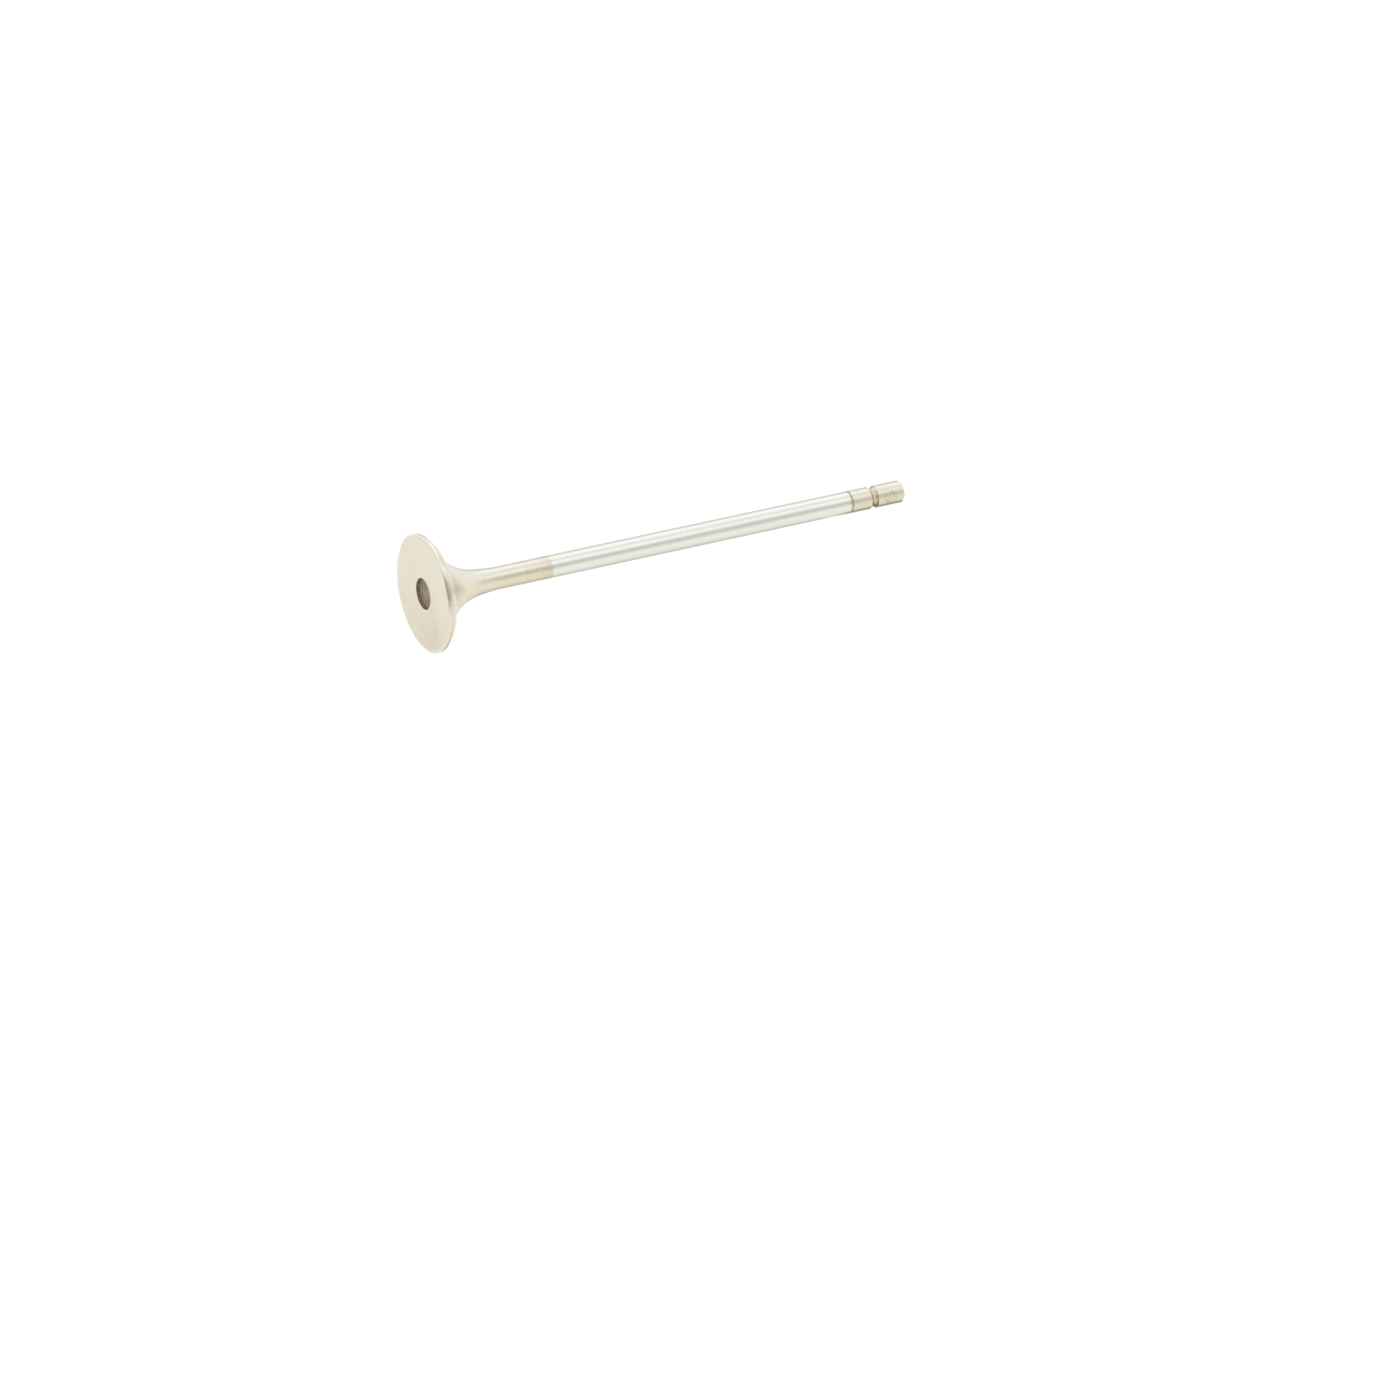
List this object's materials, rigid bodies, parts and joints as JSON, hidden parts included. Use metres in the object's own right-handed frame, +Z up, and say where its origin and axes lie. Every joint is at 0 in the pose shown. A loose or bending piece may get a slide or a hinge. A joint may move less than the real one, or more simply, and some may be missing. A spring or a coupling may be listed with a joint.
{
  "type": "engine valve",
  "caption": "Poppet valve for a large diesel engine: round head with a forged recess, sealing cone and trumpet-shaped underside, on a long plated stem with a keeper groove near its tip.",
  "frame": {"origin": "centre of the head's face, which lies on the ground plane", "axes": "+Z up along the stem from the face to the tip; X and Y are any two radial directions, because the valve is round"},
  "size_m": [0.042, 0.042, 0.1915],
  "materials": {
    "steel": "ground steel, satin turned face, plated stem, bare neck and tip"
  },
  "bodies": {
    "root": {"valve": "steel"}
  },
  "joints": []
}
